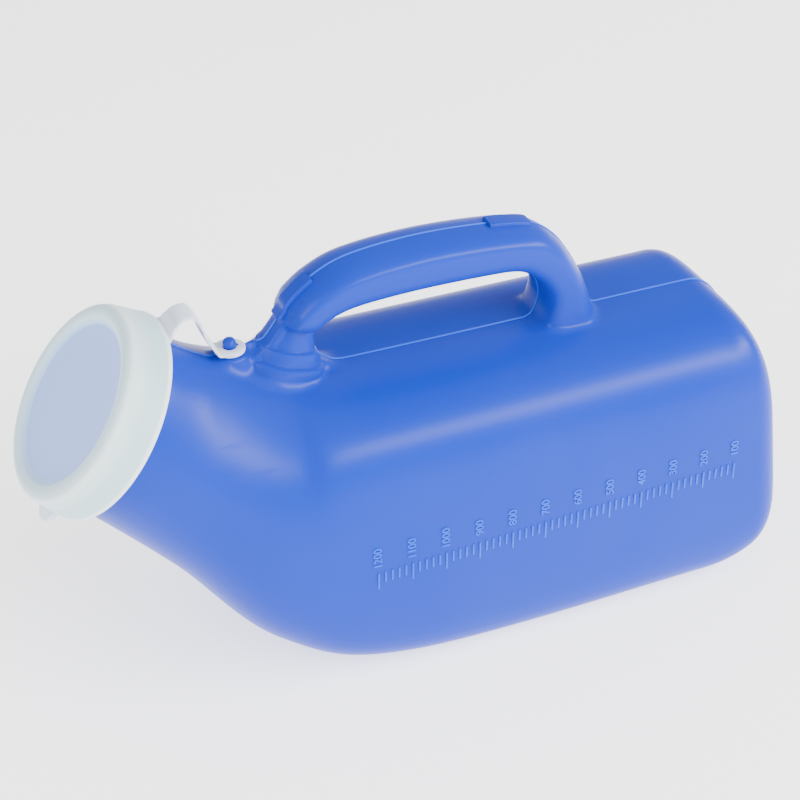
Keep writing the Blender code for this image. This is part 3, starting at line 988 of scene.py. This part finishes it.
@functools.cache
def cap_polyethylene():
    """Milky plastic in the painted shade and highlights that are stored on the cap, tinted by the clouding.
    """
    colours = bpy.context.scene.urine_bottle
    material = plastic("cap_polyethylene", (0.93, 0.95, 0.96), 0.5,
                       colours.cap_roughness, CAP_SCUFF, CAP_GRAIN)
    tree = material.node_tree
    shader = tree.nodes["Principled BSDF"]
    shade = tree.nodes.new("ShaderNodeAttribute")
    shade.attribute_name = "shade"
    tint = tree.nodes.new("ShaderNodeMix")
    tint.data_type = "RGBA"
    tint.blend_type = "MULTIPLY"
    tint.inputs[0].default_value = 1.0
    clouded = shader.inputs["Base Color"].links[0].from_socket
    link_all(tree, (shade.outputs["Color"], tint.inputs[6]), (clouded, tint.inputs[7]),
             (tint.outputs[2], shader.inputs["Base Color"]))
    return material


# ---- settings

def length(name, text, size, low, high):
    """A length setting, with its size and limits in millimetres."""
    return FloatProperty(name=name, description=text, default=size * MM, min=low * MM,
                         max=high * MM, subtype="DISTANCE", unit="LENGTH")


def colour(name, text, value):
    return FloatVectorProperty(name=name, description=text, default=value, min=0.0, max=1.0,
                               subtype="COLOR")


class UrineBottleSettings(bpy.types.PropertyGroup):
    wall: length("Wall", "Thickness of the bottle's wall at the neck", 1.6, 0.5, 4.0)
    fineness: length("Fineness", "Size of the faces of the moulded skin", 1.2, 0.8, 4.0)
    fillet: length("Fillet", "How far from a junction the skin is rounded", 3.2, 0.0, 10.0)
    seam_radius: length(
        "Parting line", "Radius of the fine ridge in the middle plane", 0.42, 0.05, 1.0)
    rib_height: length(
        "Rib height", "How far the grip's two blocks stand out", 1.25, 0.0, 3.0)
    mark_proud: length(
        "Marks", "How far the volume marks stand out of the wall", 0.4, 0.05, 1.0)
    figure_size: length("Figures", "Type size of the volume marks' figures", 4.1, 1.0, 10.0)
    strap_thick: length("Strap", "Thickness of the cap's strap", 1.2, 0.4, 3.0)
    cap_steps: IntProperty(
        name="Cap steps", description="Faces round the cap", default=144, min=24, max=256)
    bottle_colour: colour("Bottle", "Colour of the bottle's plastic", (0.0, 0.029, 0.42))
    # paler blue painted on the parting line and the volume marks as their highlight
    ridge_highlight_colour: colour(
        "Ridges", "Colour of the parting line and the volume marks", (0.008, 0.085, 0.70))
    bottle_roughness: FloatProperty(
        name="Bottle roughness", description="Roughness of the bottle where it isn't rubbed",
        default=0.33, min=0.0, max=1.0, subtype="FACTOR")
    cap_colour: colour(
        "Strap and tab", "Colour of the strap's, pad's and tab's plastic", (0.70, 0.76, 0.90))
    cap_roughness: FloatProperty(
        name="Cap roughness", description="Roughness of the cap where it isn't rubbed",
        default=0.38, min=0.0, max=1.0, subtype="FACTOR")
    floor_colour: colour("Floor", "Colour of the floor", (0.93, 0.93, 0.93))
    floor_glow: FloatProperty(
        name="Floor glow", description="Light that the pale floor gives back by itself",
        default=1.6, min=0.0, max=20.0)
    key_power: FloatProperty(
        name="Key light", description="Power of the large soft light over the near side",
        default=50.0, min=0.0, max=500.0, subtype="POWER", unit="POWER")
    fill_power: FloatProperty(
        name="Fill light", description="Power of the soft light on the mouth's side",
        default=8.0, min=0.0, max=500.0, subtype="POWER", unit="POWER")
    sky_strength: FloatProperty(
        name="Room light", description="Strength of the even light from all round",
        default=0.95, min=0.0, max=5.0)


# ---- operators

class UrineBottleShell(bpy.types.Operator):
    """Mould the bottle: body, neck, mouth, handle, foot and stud in one hollow skin"""
    bl_idname = "urine_bottle.shell"
    bl_label = "Bottle Shell"

    def execute(self, context):
        mesh = bmesh.new()
        mesh.from_mesh(outer_skin())
        open_mouth(mesh, context.scene.urine_bottle.wall / MM)
        shell = make_piece("bottle_shell", mesh, [blue_polyethylene()], 50.0)
        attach(shell, "bottle")
        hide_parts("bottle_body", "carry_handle", "tether_stud")
        return {"FINISHED"}


class UrineBottlePartingLine(bpy.types.Operator):
    """Lay the fine ridge that the mould halves leave in the middle plane"""
    bl_idname = "urine_bottle.parting_line"
    bl_label = "Parting Line"

    def execute(self, context):
        radius = context.scene.urine_bottle.seam_radius
        tubes = []
        for loop in middle_loops(outer_skin()):
            points = evenly(loop, SEAM_STEP * MM)
            for point in points:
                point.z = max(point.z, 1.3 * radius)
            points, gap = longest_run([point for point in points if keeps_seam(point / MM)])
            tubes.append(tube_along(points, radius, gap < MOUTH_GAP * MM))
        # the paler blue paints the highlight along the ridge
        ridge = make_piece("parting_line", join(tubes), [ridge_highlight_polyethylene()], 80.0)
        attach(ridge, "bottle")
        return {"FINISHED"}


class UrineBottleFootSteps(bpy.types.Operator):
    """Step the front foot of the handle, with a crisp edge on each ledge"""
    bl_idname = "urine_bottle.foot_steps"
    bl_label = "Foot Steps"

    def execute(self, context):
        steps = make_piece("foot_steps", foot_solid(FOOT_STEPS), [blue_polyethylene()], 30.0)
        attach(steps, "bottle")
        return {"FINISHED"}


class UrineBottleGripRib(bpy.types.Operator):
    """Add the two blunt blocks of the grip's rib"""
    bl_idname = "urine_bottle.grip_rib"
    bl_label = "Grip Rib"

    def execute(self, context):
        height = context.scene.urine_bottle.rib_height / MM
        line = grip_line()
        bars = [rib_bar(line, *FRONT_BLOCK, RIB_HALF_WIDTH, height),
                rib_bar(line, *REAR_BLOCK, RIB_HALF_WIDTH, height)]
        rib = make_piece("grip_blocks", join(bars), [blue_polyethylene()], 60.0)
        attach(rib, "bottle")
        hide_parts("grip_rib")
        return {"FINISHED"}


class UrineBottleMarks(bpy.types.Operator):
    """Raise the volume marks and their figures on the near wall"""
    bl_idname = "urine_bottle.marks"
    bl_label = "Volume Marks"

    def execute(self, context):
        sizes = context.scene.urine_bottle
        proud = sizes.mark_proud / MM
        meshes = []
        for i in range((HUNDREDS - 1) * TICKS_PER_HUNDRED + 1):
            length = SHORT_TICK if i % TICKS_PER_HUNDRED else LONG_TICK
            x = FIRST_MARK_X + HUNDRED_STEP * i / TICKS_PER_HUNDRED
            rise = MARKS_RISE * (x - FIRST_MARK_X)
            meshes.append(tick(x, TICK_TOP_Z + rise, length, proud))
        for i in range(HUNDREDS):
            text = str(100 * (HUNDREDS - i))
            x = FIRST_MARK_X + HUNDRED_STEP * i
            rise = MARKS_RISE * (x - FIRST_MARK_X)
            meshes.append(number(text, x, NUMBER_Z + rise, sizes.figure_size / MM, proud))
        # the paler blue paints the highlight on the raised marks and figures
        marks = make_piece("volume_marks", join(meshes), [ridge_highlight_polyethylene()], 40.0)
        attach(marks, "bottle")
        return {"FINISHED"}


class UrineBottleStrap(bpy.types.Operator):
    """Lay the strap from the stud's pad over its loop to the cap, in three lengths"""
    bl_idname = "urine_bottle.strap"
    bl_label = "Strap"

    def execute(self, context):
        rings = strap_rings(context.scene.urine_bottle.strap_thick / MM)
        rear_cut = ring_near(rings, REAR_CUT)
        front_cut = ring_near(rings, FRONT_CUT)
        lengths = (
            ("strap_rear", rings[:rear_cut + 1], "bottle", "tether_rear", "tether_base",
             RUN_AT_PAD, ("tether_rear",)),
            ("strap_top", rings[rear_cut:front_cut + 1], "tether_rear", "tether_front",
             "tether_fold", RUN_AT_LOOP, ("tether_front",)),
            ("strap_root", rings[front_cut:], "tether_front", "cap", "cap_flip",
             RUN_AT_SKIRT, ()),
        )
        for name, part, before, after, joint, along, replaced in lengths:
            piece = make_piece(name, loft(part), [milky_polyethylene()], 50.0)
            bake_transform(piece)
            if replaced:
                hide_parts(*replaced)
        return {"FINISHED"}


class UrineBottlePad(bpy.types.Operator):
    """Set the strap's ring pad on the stud"""
    bl_idname = "urine_bottle.pad"
    bl_label = "Strap Pad"

    def execute(self, context):
        mesh = lathe(PAD_PROFILE, 64, Vector((STUD_X, 0.0, PAD_Z)), UP, ALONG)
        pad = make_piece("strap_pad", mesh, [milky_polyethylene()], 50.0)
        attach(pad, "bottle")
        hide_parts("tether_pad")
        return {"FINISHED"}


class UrineBottleCap(bpy.types.Operator):
    """Turn the cap with its recessed panel, skirt, snap bead and plug lip"""
    bl_idname = "urine_bottle.cap"
    bl_label = "Cap"

    def execute(self, context):
        steps = context.scene.urine_bottle.cap_steps
        mesh = lathe(CAP_PROFILE, steps, MOUTH, OUT, RADIAL)
        shade_cap(mesh)
        cap = make_piece("cap", mesh, [cap_polyethylene()], 50.0)
        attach(cap, "cap")
        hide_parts("cap_shell", "plug_lip")
        return {"FINISHED"}


class UrineBottleTab(bpy.types.Operator):
    """Add the tab under the skirt that the thumb opens the cap with"""
    bl_idname = "urine_bottle.tab"
    bl_label = "Pull Tab"

    def execute(self, context):
        lift = OUT * (TAB_OUT[1] - TAB_OUT[0])
        mesh = plate(tab_outline(), lift, 0.5)
        tab = make_piece("pull_tab_soft", mesh, [milky_polyethylene()], 50.0)
        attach(tab, "cap")
        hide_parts("pull_tab")
        return {"FINISHED"}


def area_light(name, place, size, power):
    """A soft light that points at the middle of the stage."""
    light = bpy.data.lights.new(name, "AREA")
    light.shape = "RECTANGLE"
    light.size, light.size_y = size
    light.energy = power
    lamp = bpy.data.objects.new(name, light)
    lamp.location = place
    aim = Vector(STAGE_MIDDLE) - Vector(place)
    lamp.rotation_euler = aim.to_track_quat("-Z", "Y").to_euler()
    bpy.context.scene.collection.objects.link(lamp)


class UrineBottleStage(bpy.types.Operator):
    """Set up the pale floor, the soft lights and the camera"""
    bl_idname = "urine_bottle.stage"
    bl_label = "Stage"

    def execute(self, context):
        stage = context.scene.urine_bottle
        mesh = bmesh.new()
        bmesh.ops.create_grid(mesh, x_segments=1, y_segments=1, size=FLOOR_HALF)
        floor_material = bpy.data.materials.new("pale_floor")
        floor_material.use_nodes = True
        colour = (*stage.floor_colour, 1.0)
        set_inputs(floor_material.node_tree.nodes["Principled BSDF"],
                   {"Base Color": colour, "Roughness": 0.9, "Emission Color": colour,
                    "Emission Strength": stage.floor_glow})
        floor = make_piece("floor", mesh, [floor_material])
        world = bpy.data.worlds.new("soft_room")
        world.use_nodes = True
        set_inputs(world.node_tree.nodes["Background"],
                   {"Color": ROOM_COLOUR, "Strength": stage.sky_strength})
        context.scene.world = world
        area_light("key_light", KEY_PLACE, KEY_SIZE, stage.key_power)
        area_light("fill_light", FILL_PLACE, FILL_SIZE, stage.fill_power)
        camera = bpy.data.cameras.new("camera")
        camera.lens = CAMERA_LENS
        camera.sensor_width = 36.0
        viewer = bpy.data.objects.new("camera", camera)
        viewer.location = CAMERA_PLACE
        viewer.rotation_euler = (math.radians(CAMERA_TILT), 0.0, math.radians(CAMERA_TURN))
        context.scene.collection.objects.link(viewer)
        context.scene.camera = viewer
        return {"FINISHED"}


class UrineBottlePanel(bpy.types.Panel):
    """Lists the bottle's pieces and settings"""
    bl_idname = "VIEW3D_PT_urine_bottle"
    bl_label = "Urine Bottle"
    bl_space_type = "VIEW_3D"
    bl_region_type = "UI"
    bl_category = "Bottle"

    def draw(self, context):
        layout = self.layout
        for operator in OPERATORS:
            layout.operator(operator.bl_idname)
        settings = context.scene.urine_bottle
        for name in UrineBottleSettings.__annotations__:
            layout.prop(settings, name)


OPERATORS = (
    UrineBottleShell,
    UrineBottlePartingLine,
    UrineBottleFootSteps,
    UrineBottleGripRib,
    UrineBottleMarks,
    UrineBottleStrap,
    UrineBottlePad,
    UrineBottleCap,
    UrineBottleTab,
    UrineBottleStage,
)
CLASSES = (UrineBottleSettings, *OPERATORS, UrineBottlePanel)


def register():
    for entry in CLASSES:
        bpy.utils.register_class(entry)
    bpy.types.Scene.urine_bottle = PointerProperty(type=UrineBottleSettings)


def unregister():
    del bpy.types.Scene.urine_bottle
    for entry in reversed(CLASSES):
        bpy.utils.unregister_class(entry)


def main():
    register()
    bpy.ops.urine_bottle.shell()
    bpy.ops.urine_bottle.parting_line()
    bpy.ops.urine_bottle.foot_steps()
    bpy.ops.urine_bottle.grip_rib()
    bpy.ops.urine_bottle.marks()
    bpy.ops.urine_bottle.strap()
    bpy.ops.urine_bottle.pad()
    bpy.ops.urine_bottle.cap()
    bpy.ops.urine_bottle.tab()
    bpy.ops.urine_bottle.stage()


if __name__ == "__main__":
    main()
